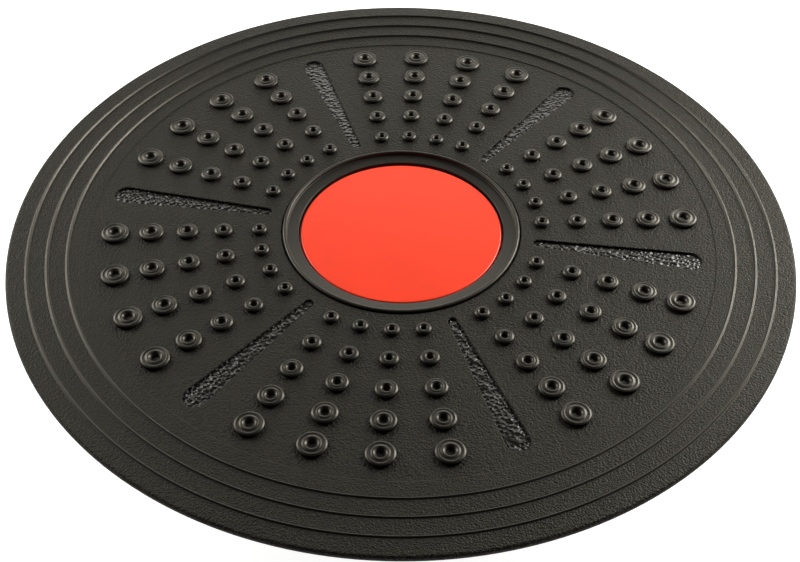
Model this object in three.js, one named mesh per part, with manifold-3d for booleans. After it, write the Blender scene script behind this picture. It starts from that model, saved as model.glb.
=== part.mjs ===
// Round balance board: a textured deck that turns on a ball bearing above a rocking dome.
// Millimetres, +Z up. The origin is the centre of the foot pad's underside, on the floor.

import * as THREE from 'three';
import { mergeVertices } from 'three/addons/utils/BufferGeometryUtils.js';
import Module from 'manifold-3d';

const wasm = await Module();
wasm.setup();

// ---- Driving dimensions ----

// Whole board
const BOARD_RADIUS = 180;
const BOARD_HEIGHT = 76;
const TOUCH_GAP = 0.3;
const RUNNING_GAP = 0.4;

// Deck plate and its raised rings
const DECK_THICKNESS = 4;
const RIM_THICKNESS = 3.2;
const RIM_BAND = 9.9;
const TERRACE_WIDTH = 8.9;
const TERRACE_COUNT = 3;
const TERRACE_RISE = 0.5;

// Nubs: straight rows that run out from the hub, with a slot in place of every fifth row
const SPOKE_COUNT = 30;
const SPOKES_PER_SLOT = 5;
const PATTERN_ANGLE = THREE.MathUtils.degToRad(-9.33);
const NUB_ROWS = 5;
const HUB_TO_NUBS = 10.2;
const NUBS_TO_TERRACE = 20.2;
const NUB_SMALL_R = 3.6;
const NUB_GROWTH = 0.7;
const NUB_HEIGHT = 2;
const NUB_DRAFT = 0.4;
const SLOT_INNER_WIDTH = 4;
const SLOT_OUTER_WIDTH = 10.4;
const SLOT_DEPTH = 2.4;
const SLOT_INNER_OVERRUN = 4;
const SLOT_OUTER_OVERRUN = 6;

// Deck underside
const RIB_THICKNESS = 2.4;
const RIB_COUNT = 12;
const RIB_INNER_DEPTH = 6.5;
const RIB_OUTER_DEPTH = 4;
const RIM_RIB_INSET = 9.5;

// Hub and cap
const CAP_RADIUS = 46.8;
const CAP_THICKNESS = 2.2;
const CAP_DROP = 2.1;
const CAP_GAP = 0.9;
const CAP_LEDGE = 3.2;
const CAP_SKIRT_DEPTH = 6;
const CAP_SKIRT_WALL = 1.8;
const HUB_WALL = 2.9;
const HUB_FLOOR = 3.4;
const FLANGE_OVERHANG = 4.5;
const FLANGE_THICKNESS = 2.3;
const FLANGE_BAND_DROP = 0.8;
const BEAD_RISE = 0.9;
const BEAD_WIDTH = 1.9;
const EDGE_BREAK = 0.5;

// Ball bearing
const HUB_TO_RACE = 16;
const RACE_MARGIN = 5.1;
const RACE_BACK = 1.3;
const RACE_SEAT_THICKNESS = 5.9;
const SEAT_MARGIN = 2.4;
const BALL_RADIUS = 3;
const BALL_COUNT = 12;
const GROOVE_BITE = 1.4;
const CAGE_THICKNESS = 2.4;
const CAGE_EDGE = 1.2;

// Rocker
const PLATE_THICKNESS = 4;
const PLATE_MARGIN = 2.6;
const COLLAR_WALL = 2.4;
const COLLAR_CLEARANCE = 1;
const COLLAR_TO_SKIRT = 2;
const DOME_WALL = 3.5;
const COLUMN_RADIUS = 18;
const COLUMN_WALL = 4;
const DOME_RIB_THICKNESS = 3;
const DOME_RIB_DROP = 2;
const PAD_RADIUS = 46;
const PAD_FLAT_RADIUS = 24;
const PAD_THICKNESS = 4;

// Fasteners
const SCREWS_PER_RING = 6;
const BOSS_WALL = 2.8;
const HEAD_INSET = 0.15;
const RACE_SCREW = { shank: 1.25, head: 2.3, headHeight: 1.5, edge: 0.3, countersunk: true };
const RACE_SCREW_BITE = 3.8;
const PLATE_SCREW = { shank: 1.5, head: 3, headHeight: 1.9, edge: 0.3, countersunk: true };
const PLATE_SCREW_COVER = 5.3;
const PLATE_SCREW_MARGIN = 1.5;
const HUB_SCREW = { shank: 1.75, head: 3.4, headHeight: 2.4, countersunk: false };
const HUB_SCREW_BITE = 5.6;
const HUB_SCREW_INSET = 8.5;

// Facets
const ROUND_FACETS = 48;
const ROCKER_FACETS = 36;
const COLUMN_FACETS = 24;
const BOSS_FACETS = 10;
const SMALL_FACETS = 8;
const DOME_STEPS = 5;
const PAD_STEPS = 2;
const GROOVE_STEPS = 3;
const NOSE_STEPS = 4;

// ---- Radii that follow, from the axis outwards ----

const CAP_BORE_RADIUS = CAP_RADIUS + CAP_GAP;
const NECK_RADIUS = CAP_BORE_RADIUS + HUB_WALL;
const HUB_INNER_RADIUS = CAP_BORE_RADIUS - CAP_LEDGE;
const FLANGE_RADIUS = NECK_RADIUS + FLANGE_OVERHANG;
const HUB_SCREW_RADIUS = HUB_INNER_RADIUS - HUB_SCREW_INSET;

const RACE_SPACE = 2 * (BALL_RADIUS - GROOVE_BITE);
const GROOVE_RADIUS = BALL_RADIUS + TOUCH_GAP;
const GROOVE_HALF_WIDTH = Math.sqrt(GROOVE_RADIUS ** 2 - (RACE_SPACE / 2) ** 2);
const RACE_INNER_RADIUS = NECK_RADIUS + HUB_TO_RACE;
const RACE_RADIUS = RACE_INNER_RADIUS + RACE_MARGIN + GROOVE_HALF_WIDTH;
const RACE_OUTER_RADIUS = RACE_RADIUS + GROOVE_HALF_WIDTH + RACE_MARGIN;
const RACE_SCREW_RADIUS = RACE_OUTER_RADIUS - RACE_MARGIN / 2;
const PLATE_SCREW_RADIUS = RACE_OUTER_RADIUS + PLATE_SCREW_MARGIN + PLATE_SCREW.head;
const COLLAR_RADIUS = PLATE_SCREW_RADIUS + PLATE_SCREW.head + PLATE_SCREW_MARGIN;
const COLLAR_OUTER_RADIUS = COLLAR_RADIUS + COLLAR_WALL;
const SKIRT_RADIUS = COLLAR_OUTER_RADIUS + COLLAR_TO_SKIRT;
const DOME_RIM_RADIUS = COLLAR_OUTER_RADIUS + PLATE_MARGIN;

const NUB_FIRST_RADIUS = FLANGE_RADIUS + RUNNING_GAP + HUB_TO_NUBS;
const TERRACE_START = BOARD_RADIUS - RIM_BAND - (TERRACE_COUNT - 1) * TERRACE_WIDTH;
const NUB_LAST_RADIUS = TERRACE_START - NUBS_TO_TERRACE;
const NUB_PITCH = (NUB_LAST_RADIUS - NUB_FIRST_RADIUS) / (NUB_ROWS - 1);
const RIM_RIB_RADIUS = BOARD_RADIUS - RIM_RIB_INSET;

// ---- Heights that follow, from the deck downwards ----

const DECK_TOP = BOARD_HEIGHT - NUB_HEIGHT;
const DECK_UNDERSIDE = DECK_TOP - DECK_THICKNESS;
const RIM_TOP = DECK_TOP + TERRACE_COUNT * TERRACE_RISE;
const CAP_TOP = DECK_TOP - CAP_DROP;
const CAP_UNDERSIDE = CAP_TOP - CAP_THICKNESS;
const FLANGE_UNDERSIDE = DECK_TOP - FLANGE_THICKNESS;

const RACE_THICKNESS = GROOVE_RADIUS - RACE_SPACE / 2 + RACE_BACK;
const RACE_SEAT = DECK_TOP - RACE_SEAT_THICKNESS;
const UPPER_RACE_FACE = RACE_SEAT - TOUCH_GAP - RACE_THICKNESS;
const BALL_HEIGHT = UPPER_RACE_FACE - RACE_SPACE / 2;
const LOWER_RACE_FACE = UPPER_RACE_FACE - RACE_SPACE;
const PLATE_TOP = LOWER_RACE_FACE - RACE_THICKNESS - TOUCH_GAP;
const HUB_UNDERSIDE = PLATE_TOP + TOUCH_GAP;
const HUB_FLOOR_TOP = HUB_UNDERSIDE + HUB_FLOOR;
const PLATE_UNDERSIDE = PLATE_TOP - PLATE_THICKNESS;
const DOME_TOP = PLATE_UNDERSIDE - TOUCH_GAP;

// The dome's outer face is part of a ball that meets the floor at the edge of the pad's flat.
const BALL_CENTRE = (DOME_RIM_RADIUS ** 2 + DOME_TOP ** 2 - PAD_FLAT_RADIUS ** 2) / (2 * DOME_TOP);
const DOME_RADIUS = Math.hypot(PAD_FLAT_RADIUS, BALL_CENTRE);
const DOME_UNDER_SCREW = BALL_CENTRE - Math.sqrt(DOME_RADIUS ** 2 - PLATE_SCREW_RADIUS ** 2);

// How far a solid reaches into the one it is joined to, or a cutter past the face it cuts.
const NUB_ROOT = 0.5;
const OVERLAP = 1;

// ---- Shape helpers ----

function toSolid(geometry) {
  const bare = geometry.clone();
  bare.deleteAttribute('normal');
  bare.deleteAttribute('uv');
  const merged = mergeVertices(bare, 1e-4);
  const corners = merged.index.array;
  const triVerts = [];
  for (let i = 0; i < corners.length; i += 3) {
    const [a, b, c] = corners.subarray(i, i + 3);
    if (a !== b && b !== c && c !== a) triVerts.push(a, b, c);
  }
  return new wasm.Manifold(new wasm.Mesh({
    numProp: 3,
    vertProperties: new Float32Array(merged.attributes.position.array),
    triVerts: new Uint32Array(triVerts),
  }));
}

function toGeometry(solid) {
  const { vertProperties, triVerts, numProp } = solid.getMesh();
  const geometry = new THREE.BufferGeometry();
  geometry.setAttribute('position', new THREE.BufferAttribute(vertProperties.slice(), numProp));
  geometry.setIndex(new THREE.BufferAttribute(triVerts.slice(), 1));
  geometry.computeVertexNormals();
  return geometry;
}

// Revolves a closed outline of [radius, height] points, listed anticlockwise.
function revolve(outline, facets = ROUND_FACETS) {
  const points = [...outline, outline[0]].map(([r, z]) => new THREE.Vector2(r, z));
  const geometry = new THREE.LatheGeometry(points, facets);
  geometry.rotateX(Math.PI / 2);
  return toSolid(geometry);
}

function ring(innerRadius, outerRadius, bottom, top, facets = ROUND_FACETS) {
  return revolve([
    [innerRadius, bottom],
    [outerRadius, bottom],
    [outerRadius, top],
    [innerRadius, top],
  ], facets);
}

function disc(radius, bottom, top, facets = ROUND_FACETS) {
  return ring(0, radius, bottom, top, facets);
}

// A flat web that stands on a radius: its outline is in [radius, height].
function web(outline, thickness) {
  const shape = new THREE.Shape(outline.map(([r, z]) => new THREE.Vector2(r, z)));
  const geometry = new THREE.ExtrudeGeometry(shape, { depth: thickness, bevelEnabled: false });
  geometry.translate(0, 0, -thickness / 2);
  geometry.rotateX(Math.PI / 2);
  return toSolid(geometry);
}

function placed(solid, angle, radius = 0, height = 0) {
  const degrees = THREE.MathUtils.radToDeg(angle);
  return solid.translate([radius, 0, height]).rotate([0, 0, degrees]);
}

function turnedCopies(solid, count, startAngle = PATTERN_ANGLE) {
  const copies = [];
  for (let i = 0; i < count; i += 1) {
    copies.push(placed(solid, startAngle + (i * 2 * Math.PI) / count));
  }
  return wasm.Manifold.union(copies);
}

function arc(centreRadius, centreHeight, radius, startAngle, endAngle, steps) {
  const points = [];
  for (let i = 0; i <= steps; i += 1) {
    const angle = startAngle + ((endAngle - startAngle) * i) / steps;
    points.push([centreRadius + radius * Math.cos(angle), centreHeight + radius * Math.sin(angle)]);
  }
  return points;
}

// Points of a ball face around the dome's centre, by polar angle from straight down.
function ballFace(radius, startAngle, endAngle, steps) {
  const down = -Math.PI / 2;
  return arc(0, BALL_CENTRE, radius, down + startAngle, down + endAngle, steps);
}

// ---- Fasteners ----

// A screw's solid, with its head's top at height 0. Its hole is the same outline, grown by `clear`.
function screwSolid(screw, clear = 0, above = 0) {
  const shank = screw.shank + clear;
  const head = screw.head + clear;
  const seat = screw.countersunk ? -screw.edge : -screw.headHeight;
  return revolve([
    [0, -screw.length - clear],
    [shank, -screw.length - clear],
    [shank, -screw.headHeight],
    [head, seat],
    [head, above],
    [0, above],
  ], SMALL_FACETS);
}

// Where the screws of one ring stand: turned `shift` radians on from the deck's pattern.
function screwAngles(shift) {
  return Array.from({ length: SCREWS_PER_RING }, (_, i) =>
    PATTERN_ANGLE + shift + (i * 2 * Math.PI) / SCREWS_PER_RING);
}

const HALF_STEP = Math.PI / SCREWS_PER_RING;

const RACE_SCREW_LENGTH = RACE_THICKNESS + RACE_SCREW_BITE;
const PLATE_SCREW_HEAD = PLATE_TOP - HEAD_INSET;
const HUB_SCREW_HEAD = HUB_FLOOR_TOP + TOUCH_GAP + HUB_SCREW.headHeight;
const HUB_SCREW_TIP = PLATE_TOP - HUB_SCREW_BITE;

const upperRaceScrews = {
  screw: { ...RACE_SCREW, length: RACE_SCREW_LENGTH },
  angles: screwAngles(HALF_STEP),
  radius: RACE_SCREW_RADIUS,
  height: UPPER_RACE_FACE + HEAD_INSET,
  pointsUp: true,
};
const lowerRaceScrews = {
  screw: { ...RACE_SCREW, length: RACE_SCREW_LENGTH },
  angles: screwAngles(HALF_STEP),
  radius: RACE_SCREW_RADIUS,
  height: LOWER_RACE_FACE - HEAD_INSET,
  pointsUp: false,
};
const plateScrews = {
  screw: { ...PLATE_SCREW, length: PLATE_SCREW_HEAD - DOME_UNDER_SCREW - PLATE_SCREW_COVER },
  angles: screwAngles(0),
  radius: PLATE_SCREW_RADIUS,
  height: PLATE_SCREW_HEAD,
  pointsUp: false,
};
const hubScrews = {
  screw: { ...HUB_SCREW, length: HUB_SCREW_HEAD - HUB_SCREW_TIP },
  angles: screwAngles(0),
  radius: HUB_SCREW_RADIUS,
  height: HUB_SCREW_HEAD,
  pointsUp: false,
};

function screwHoles(set) {
  let hole = screwSolid(set.screw, TOUCH_GAP, OVERLAP);
  if (set.pointsUp) hole = hole.rotate([180, 0, 0]);
  return wasm.Manifold.union(set.angles.map((angle) => placed(hole, angle, set.radius, set.height)));
}

// ---- Deck ----

// Rings on the deck's top, listed from the rim inwards: each is one small step lower.
function terraceOutline() {
  const points = [];
  for (let i = 0; i < TERRACE_COUNT; i += 1) {
    const radius = BOARD_RADIUS - RIM_BAND - i * TERRACE_WIDTH;
    const height = RIM_TOP - i * TERRACE_RISE;
    points.push([radius, height], [radius - TERRACE_RISE, height - TERRACE_RISE]);
  }
  return points;
}

function deckBlank() {
  const nose = RIM_THICKNESS / 2;
  const rimUnderside = RIM_TOP - RIM_THICKNESS;
  const terraceUnderside = rimUnderside - (DECK_THICKNESS - RIM_THICKNESS) / 2;
  const skirtOuter = SKIRT_RADIUS + RIB_THICKNESS;
  const seatEdge = RACE_OUTER_RADIUS + SEAT_MARGIN;
  const skirtFoot = DECK_UNDERSIDE - RIB_INNER_DEPTH;
  return revolve([
    [NECK_RADIUS + RUNNING_GAP, RACE_SEAT],
    [seatEdge, RACE_SEAT],
    [seatEdge, DECK_UNDERSIDE],
    [SKIRT_RADIUS, DECK_UNDERSIDE],
    [SKIRT_RADIUS, skirtFoot],
    [skirtOuter, skirtFoot],
    [skirtOuter, DECK_UNDERSIDE],
    [TERRACE_START, DECK_UNDERSIDE],
    [RIM_RIB_RADIUS, terraceUnderside],
    [RIM_RIB_RADIUS, rimUnderside - RIB_OUTER_DEPTH],
    [RIM_RIB_RADIUS + RIB_THICKNESS, rimUnderside - RIB_OUTER_DEPTH],
    [RIM_RIB_RADIUS + RIB_THICKNESS, rimUnderside],
    ...arc(BOARD_RADIUS - nose, RIM_TOP - nose, nose, -Math.PI / 2, Math.PI / 2, NOSE_STEPS),
    ...terraceOutline(),
    [FLANGE_RADIUS + RUNNING_GAP, DECK_TOP],
    [FLANGE_RADIUS + RUNNING_GAP, FLANGE_UNDERSIDE - RUNNING_GAP],
    [NECK_RADIUS + RUNNING_GAP, FLANGE_UNDERSIDE - RUNNING_GAP],
  ]);
}

function deckRibs() {
  const inner = SKIRT_RADIUS + RIB_THICKNESS / 2;
  const outer = RIM_RIB_RADIUS + RIB_THICKNESS / 2;
  const rib = web([
    [inner, DECK_UNDERSIDE - RIB_INNER_DEPTH],
    [outer, RIM_TOP - RIM_THICKNESS - RIB_OUTER_DEPTH],
    [outer, DECK_UNDERSIDE + OVERLAP],
    [inner, DECK_UNDERSIDE + OVERLAP],
  ], RIB_THICKNESS);
  return turnedCopies(rib, RIB_COUNT);
}

function nub(row) {
  const radius = NUB_SMALL_R + row * NUB_GROWTH;
  return revolve([
    [0, DECK_TOP - NUB_ROOT],
    [radius, DECK_TOP - NUB_ROOT],
    [radius - NUB_DRAFT, BOARD_HEIGHT],
    [0, BOARD_HEIGHT],
  ], SMALL_FACETS);
}

function deckNubs() {
  const nubs = [];
  for (let spoke = 0; spoke < SPOKE_COUNT; spoke += 1) {
    if (spoke % SPOKES_PER_SLOT === 0) continue;
    const angle = PATTERN_ANGLE + (spoke * 2 * Math.PI) / SPOKE_COUNT;
    for (let row = 0; row < NUB_ROWS; row += 1) {
      nubs.push(placed(nub(row), angle, NUB_FIRST_RADIUS + row * NUB_PITCH));
    }
  }
  return wasm.Manifold.union(nubs);
}

// A slot's cutter: a tapered bar with round ends that runs the length of a row of nubs.
function slotCutter() {
  const start = NUB_FIRST_RADIUS - SLOT_INNER_OVERRUN + SLOT_INNER_WIDTH / 2;
  const end = NUB_LAST_RADIUS + SLOT_OUTER_OVERRUN - SLOT_OUTER_WIDTH / 2;
  const shape = new THREE.Shape();
  shape.absarc(end, 0, SLOT_OUTER_WIDTH / 2, -Math.PI / 2, Math.PI / 2);
  shape.absarc(start, 0, SLOT_INNER_WIDTH / 2, Math.PI / 2, (3 * Math.PI) / 2);
  const geometry = new THREE.ExtrudeGeometry(shape, {
    depth: SLOT_DEPTH + OVERLAP,
    bevelEnabled: false,
    curveSegments: 5,
  });
  geometry.translate(0, 0, DECK_TOP - SLOT_DEPTH);
  return toSolid(geometry);
}

function deckSolid() {
  const slots = turnedCopies(slotCutter(), SPOKE_COUNT / SPOKES_PER_SLOT);
  return deckBlank().add(deckRibs()).add(deckNubs()).subtract(slots).subtract(screwHoles(upperRaceScrews));
}

// ---- Bearing ----

// One race ring: its groove opens towards the balls, above the lower ring and below the upper.
function raceSolid(isUpper) {
  const side = isUpper ? 1 : -1;
  const face = BALL_HEIGHT + (side * RACE_SPACE) / 2;
  const back = face + side * RACE_THICKNESS;
  const grooveHalfAngle = Math.asin(GROOVE_HALF_WIDTH / GROOVE_RADIUS);
  const middle = (side * Math.PI) / 2;
  const groove = arc(
    RACE_RADIUS, BALL_HEIGHT, GROOVE_RADIUS,
    middle + side * grooveHalfAngle, middle - side * grooveHalfAngle, GROOVE_STEPS,
  );
  const outline = [
    [RACE_INNER_RADIUS, face],
    ...groove,
    [RACE_OUTER_RADIUS, face],
    [RACE_OUTER_RADIUS, back],
    [RACE_INNER_RADIUS, back],
  ];
  const body = revolve(isUpper ? outline : outline.reverse());
  return body.subtract(screwHoles(isUpper ? upperRaceScrews : lowerRaceScrews));
}

function ballAngle(index) {
  return PATTERN_ANGLE + (index * 2 * Math.PI) / BALL_COUNT;
}

function cageSolid() {
  const pocketRadius = BALL_RADIUS + RUNNING_GAP;
  const halfWidth = pocketRadius + CAGE_EDGE;
  const halfHeight = CAGE_THICKNESS / 2;
  const body = ring(
    RACE_RADIUS - halfWidth, RACE_RADIUS + halfWidth,
    BALL_HEIGHT - halfHeight, BALL_HEIGHT + halfHeight,
  );
  const pocket = disc(pocketRadius, -CAGE_THICKNESS, CAGE_THICKNESS, BOSS_FACETS);
  const pockets = [];
  for (let i = 0; i < BALL_COUNT; i += 1) {
    pockets.push(placed(pocket, ballAngle(i), RACE_RADIUS, BALL_HEIGHT));
  }
  return body.subtract(wasm.Manifold.union(pockets));
}

// ---- Hub ----

function hubSolid() {
  const band = DECK_TOP - FLANGE_BAND_DROP;
  const capSeat = CAP_UNDERSIDE - TOUCH_GAP;
  const beadTop = DECK_TOP + BEAD_RISE;
  const beadInner = FLANGE_RADIUS - BEAD_WIDTH;
  const body = revolve([
    [0, HUB_UNDERSIDE],
    [NECK_RADIUS, HUB_UNDERSIDE],
    [NECK_RADIUS, FLANGE_UNDERSIDE],
    [FLANGE_RADIUS, FLANGE_UNDERSIDE],
    [FLANGE_RADIUS, beadTop - EDGE_BREAK],
    [FLANGE_RADIUS - EDGE_BREAK, beadTop],
    [beadInner + EDGE_BREAK, beadTop],
    [beadInner, band],
    [CAP_BORE_RADIUS, band],
    [CAP_BORE_RADIUS, capSeat],
    [HUB_INNER_RADIUS, capSeat],
    [HUB_INNER_RADIUS, HUB_FLOOR_TOP],
    [0, HUB_FLOOR_TOP],
  ], ROCKER_FACETS);
  return body.subtract(screwHoles(hubScrews));
}

function capSolid() {
  const skirtOuter = HUB_INNER_RADIUS - TOUCH_GAP;
  const skirtInner = skirtOuter - CAP_SKIRT_WALL;
  return revolve([
    [0, CAP_UNDERSIDE],
    [skirtInner, CAP_UNDERSIDE],
    [skirtInner, CAP_UNDERSIDE - CAP_SKIRT_DEPTH],
    [skirtOuter, CAP_UNDERSIDE - CAP_SKIRT_DEPTH],
    [skirtOuter, CAP_UNDERSIDE],
    [CAP_RADIUS, CAP_UNDERSIDE],
    [CAP_RADIUS, CAP_TOP - EDGE_BREAK],
    [CAP_RADIUS - EDGE_BREAK, CAP_TOP],
    [0, CAP_TOP],
  ], ROCKER_FACETS);
}

// ---- Rocker ----

function plateSolid() {
  const bossRadius = HUB_SCREW.shank + BOSS_WALL;
  const bossFoot = HUB_SCREW_TIP - BOSS_WALL;
  const boss = disc(bossRadius, bossFoot, PLATE_TOP - OVERLAP, BOSS_FACETS);
  const bosses = wasm.Manifold.union(hubScrews.angles.map((angle) => placed(boss, angle, HUB_SCREW_RADIUS)));
  const disk = revolve([
    [0, PLATE_UNDERSIDE],
    [DOME_RIM_RADIUS, PLATE_UNDERSIDE],
    [DOME_RIM_RADIUS, PLATE_TOP],
    [COLLAR_OUTER_RADIUS, PLATE_TOP],
    [COLLAR_OUTER_RADIUS, DECK_UNDERSIDE - COLLAR_CLEARANCE],
    [COLLAR_RADIUS, DECK_UNDERSIDE - COLLAR_CLEARANCE],
    [COLLAR_RADIUS, PLATE_TOP],
    [0, PLATE_TOP],
  ], ROCKER_FACETS);
  return disk
    .add(bosses)
    .subtract(screwHoles(hubScrews))
    .subtract(screwHoles(lowerRaceScrews))
    .subtract(screwHoles(plateScrews));
}

const FLAT_ANGLE = Math.asin(PAD_FLAT_RADIUS / DOME_RADIUS);
const PAD_ANGLE = Math.asin(PAD_RADIUS / DOME_RADIUS);
const RIM_ANGLE = Math.acos((BALL_CENTRE - DOME_TOP) / DOME_RADIUS);

function domeShell() {
  const recessRadius = DOME_RADIUS - PAD_THICKNESS - TOUCH_GAP;
  const recessAngle = PAD_ANGLE + TOUCH_GAP / DOME_RADIUS;
  const recessFloor = PAD_THICKNESS + TOUCH_GAP;
  const innerRadius = DOME_RADIUS - DOME_WALL;
  const innerRimAngle = Math.acos((BALL_CENTRE - DOME_TOP) / innerRadius);
  const stepAngle = recessAngle + DOME_WALL / DOME_RADIUS;
  return revolve([
    [0, recessFloor],
    ...ballFace(recessRadius, FLAT_ANGLE, recessAngle, PAD_STEPS),
    ...ballFace(DOME_RADIUS, recessAngle, RIM_ANGLE, DOME_STEPS),
    ...ballFace(innerRadius, innerRimAngle, stepAngle, DOME_STEPS),
    ...ballFace(recessRadius - DOME_WALL, stepAngle, FLAT_ANGLE, PAD_STEPS),
    [0, recessFloor + DOME_WALL],
  ], ROCKER_FACETS);
}

// The space that the dome's outer face encloses: it trims the webs and bosses inside.
function domeEnvelope() {
  const skin = DOME_RADIUS - DOME_WALL / 2;
  const skinRimAngle = Math.acos((BALL_CENTRE - DOME_TOP) / skin);
  const floor = PAD_THICKNESS + TOUCH_GAP + DOME_WALL / 2;
  const innerSkin = DOME_RADIUS - PAD_THICKNESS - TOUCH_GAP - DOME_WALL / 2;
  const stepAngle = PAD_ANGLE + (TOUCH_GAP + DOME_WALL / 2) / DOME_RADIUS;
  return revolve([
    [0, floor],
    ...ballFace(innerSkin, FLAT_ANGLE, stepAngle, PAD_STEPS),
    ...ballFace(skin, stepAngle, skinRimAngle, DOME_STEPS),
    [0, DOME_TOP],
  ], ROCKER_FACETS);
}

function domeSolid() {
  const bossRadius = PLATE_SCREW.shank + BOSS_WALL;
  const boss = disc(bossRadius, 0, DOME_TOP, BOSS_FACETS);
  const bosses = plateScrews.angles.map((angle) => placed(boss, angle, PLATE_SCREW_RADIUS));
  const column = ring(COLUMN_RADIUS - COLUMN_WALL, COLUMN_RADIUS, 0, DOME_TOP, COLUMN_FACETS);
  const rib = web([
    [COLUMN_RADIUS - COLUMN_WALL / 2, 0],
    [DOME_RIM_RADIUS, 0],
    [DOME_RIM_RADIUS, DOME_TOP - DOME_RIB_DROP],
    [COLUMN_RADIUS - COLUMN_WALL / 2, DOME_TOP - DOME_RIB_DROP],
  ], DOME_RIB_THICKNESS);
  const ribs = turnedCopies(rib, SCREWS_PER_RING, PATTERN_ANGLE + HALF_STEP);
  const inside = wasm.Manifold.union([...bosses, column, ribs]).intersect(domeEnvelope());
  return domeShell().add(inside).subtract(screwHoles(plateScrews));
}

function padSolid() {
  const innerRadius = DOME_RADIUS - PAD_THICKNESS;
  return revolve([
    [0, 0],
    ...ballFace(DOME_RADIUS, FLAT_ANGLE, PAD_ANGLE, PAD_STEPS),
    ...ballFace(innerRadius, PAD_ANGLE, FLAT_ANGLE, PAD_STEPS),
    [0, PAD_THICKNESS],
  ], ROCKER_FACETS);
}

// ---- Materials ----

function plastic(color, roughness) {
  return () => new THREE.MeshStandardMaterial({ color, roughness, metalness: 0 });
}

function metal(color, roughness) {
  return () => new THREE.MeshStandardMaterial({ color, roughness, metalness: 1 });
}

const DECK_BLACK = plastic(0x33312e, 0.5);
const HUB_BLACK = plastic(0x262523, 0.3);
const CAP_RED = plastic(0xff4f3c, 0.4);
const DOME_BLACK = plastic(0x2b2a28, 0.45);
const CAGE_WHITE = plastic(0xe8e6df, 0.5);
const RUBBER = plastic(0x1c1b1a, 0.9);
const RACE_STEEL = metal(0xb8babd, 0.3);
const BALL_STEEL = metal(0xd5d7da, 0.1);
const SCREW_STEEL = metal(0x9a9c9f, 0.35);

// ---- Assembly ----

function meshOf(name, geometry, material) {
  const mesh = new THREE.Mesh(geometry, material());
  mesh.name = name;
  return mesh;
}

function pieceOf(name, solid, material) {
  return meshOf(name, toGeometry(solid), material);
}

function screwGroup(name, set) {
  const group = new THREE.Group();
  const geometry = toGeometry(screwSolid(set.screw));
  set.angles.forEach((angle, i) => {
    const mesh = meshOf(`${name}_${i + 1}`, geometry, SCREW_STEEL);
    mesh.position.set(set.radius * Math.cos(angle), set.radius * Math.sin(angle), set.height);
    mesh.rotation.set(set.pointsUp ? Math.PI : 0, 0, angle);
    group.add(mesh);
  });
  return group;
}

function ballGroup() {
  const group = new THREE.Group();
  for (let i = 0; i < BALL_COUNT; i += 1) {
    const angle = ballAngle(i);
    const mesh = meshOf(`ball_${i + 1}`, new THREE.IcosahedronGeometry(BALL_RADIUS, 1), BALL_STEEL);
    mesh.position.set(RACE_RADIUS * Math.cos(angle), RACE_RADIUS * Math.sin(angle), BALL_HEIGHT);
    group.add(mesh);
  }
  return group;
}

const rocker = new THREE.Group();
rocker.add(pieceOf('foot_pad', padSolid(), RUBBER));
rocker.add(pieceOf('dome', domeSolid(), DOME_BLACK));
rocker.add(pieceOf('base_plate', plateSolid(), DOME_BLACK));
rocker.add(pieceOf('lower_race', raceSolid(false), RACE_STEEL));
rocker.add(pieceOf('hub_flange', hubSolid(), HUB_BLACK));
rocker.add(pieceOf('centre_cap', capSolid(), CAP_RED));
rocker.add(screwGroup('plate_screw', plateScrews));
rocker.add(screwGroup('lower_race_screw', lowerRaceScrews));
rocker.add(screwGroup('hub_screw', hubScrews));

const carrier = new THREE.Group();
carrier.add(pieceOf('ball_cage', cageSolid(), CAGE_WHITE));
carrier.add(ballGroup());

const turntable = new THREE.Group();
turntable.add(pieceOf('deck', deckSolid(), DECK_BLACK));
turntable.add(pieceOf('upper_race', raceSolid(true), RACE_STEEL));
turntable.add(screwGroup('upper_race_screw', upperRaceScrews));

const group = new THREE.Group();
group.add(rocker, carrier, turntable);

export default group;
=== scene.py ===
# A round balance board: the fine shapes and finishes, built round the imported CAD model.
# Shapes are made in millimetres, and finish_piece() turns each one into metres.

import math
import random

import bmesh
import bpy
from mathutils import Matrix, Vector


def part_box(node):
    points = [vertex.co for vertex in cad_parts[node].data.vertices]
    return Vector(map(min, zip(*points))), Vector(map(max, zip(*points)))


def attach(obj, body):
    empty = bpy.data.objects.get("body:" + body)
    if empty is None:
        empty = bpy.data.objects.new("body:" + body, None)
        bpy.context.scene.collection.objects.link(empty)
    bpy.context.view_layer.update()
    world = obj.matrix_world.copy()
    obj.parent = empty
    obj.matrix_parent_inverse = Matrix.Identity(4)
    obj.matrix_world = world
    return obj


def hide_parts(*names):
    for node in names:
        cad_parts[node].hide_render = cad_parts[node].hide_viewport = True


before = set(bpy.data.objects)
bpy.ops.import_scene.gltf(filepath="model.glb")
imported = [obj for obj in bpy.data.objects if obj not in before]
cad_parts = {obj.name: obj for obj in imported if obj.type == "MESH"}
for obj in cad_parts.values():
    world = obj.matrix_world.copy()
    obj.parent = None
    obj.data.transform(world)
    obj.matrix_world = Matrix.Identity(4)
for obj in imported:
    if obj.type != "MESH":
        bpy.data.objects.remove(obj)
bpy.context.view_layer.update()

MM = 0.001


# ---- Measures from the frame, in millimetres ----

def lowest(node):
    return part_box(node)[0] / MM


def highest(node):
    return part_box(node)[1] / MM


def centre_of(node):
    return (lowest(node) + highest(node)) / 2


def numbered(name, count):
    return [f"{name}_{i + 1}" for i in range(count)]


SCREWS_PER_RING = 6
BALL_COUNT = 12
HALF_TURN = math.pi

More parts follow.
